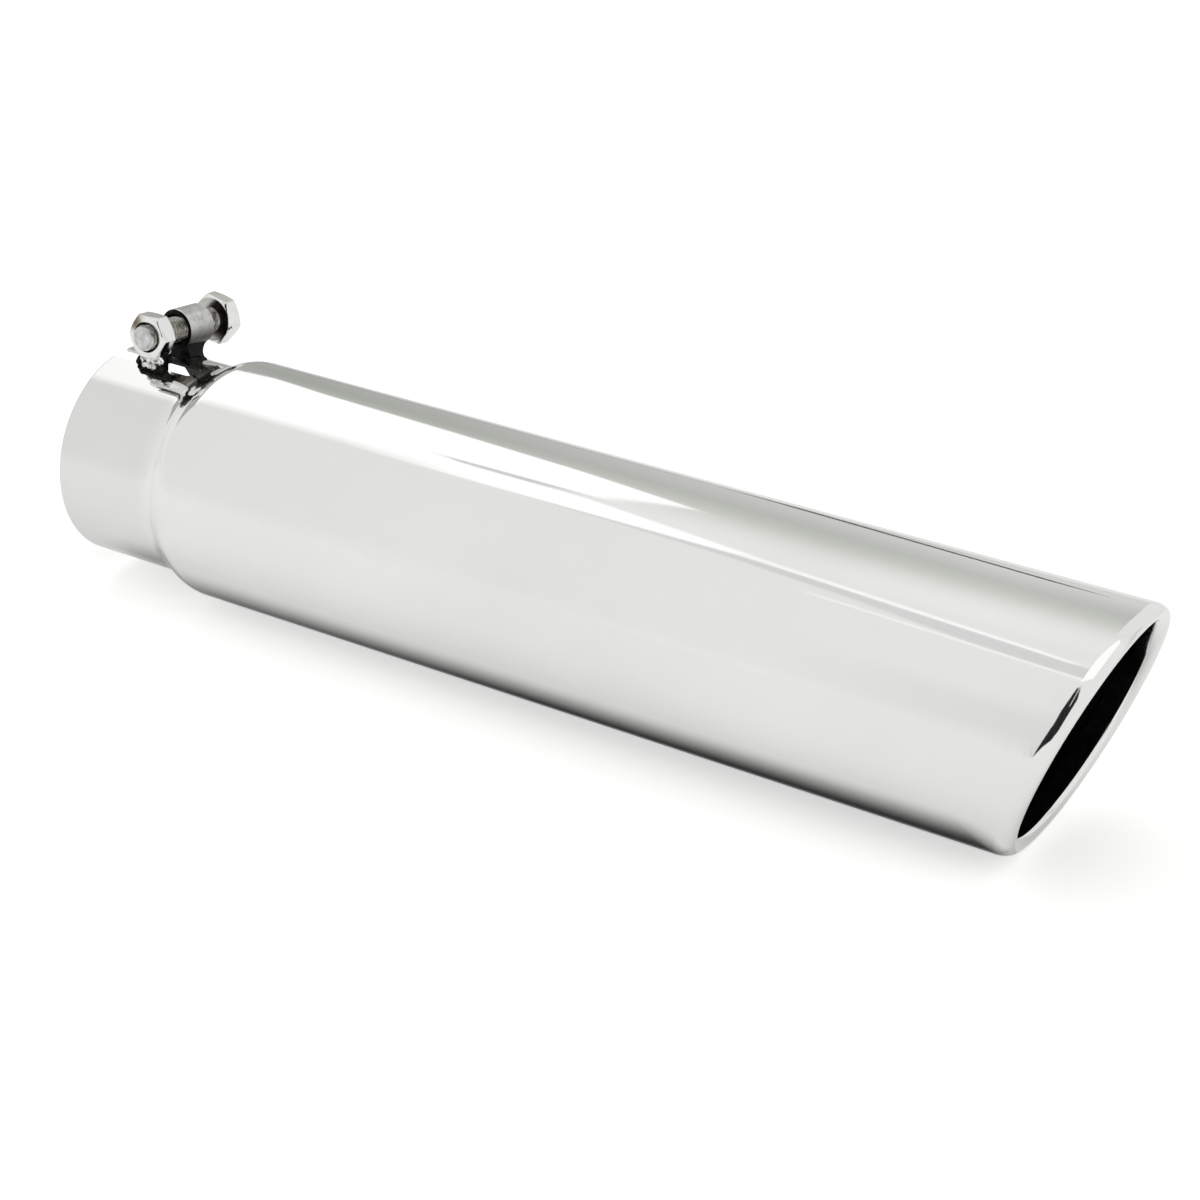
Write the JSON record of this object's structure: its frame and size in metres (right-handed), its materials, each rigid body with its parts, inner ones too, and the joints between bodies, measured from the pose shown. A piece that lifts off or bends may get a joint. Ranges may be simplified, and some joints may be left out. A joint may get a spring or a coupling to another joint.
{
  "type": "exhaust tip",
  "caption": "Straight round exhaust tip in polished sheet, with a stepped slit neck, a bolted clamp and a slanted outlet with a rolled lip.",
  "frame": {"origin": "centre of the inlet end, on the tube axis", "axes": "+X along the tube to the outlet, +Z to the long side of the slanted outlet"},
  "size_m": [0.4064, 0.0888, 0.1049],
  "materials": {
    "polished_sheet": "mirror-polished stainless sheet",
    "hardware": "bright zinc-plated steel",
    "sleeve_steel": "satin turned steel",
    "weld_metal": "dark welded steel"
  },
  "bodies": {
    "tip": {"tip_shell": "polished_sheet", "nut_foot": "weld_metal", "clamp_nut": "hardware", "sleeve_foot": "weld_metal", "clamp_sleeve": "sleeve_steel"},
    "bolt": {"clamp_bolt": "hardware"}
  },
  "joints": [
    {"name": "clamp_bolt_turn", "type": "hinge", "parent": "tip", "child": "bolt", "pos_m": [0.022, 0.00674, 0.0505], "axis": [0, -0.9912, 0.1323], "range_deg": [0, 1565]}
  ]
}
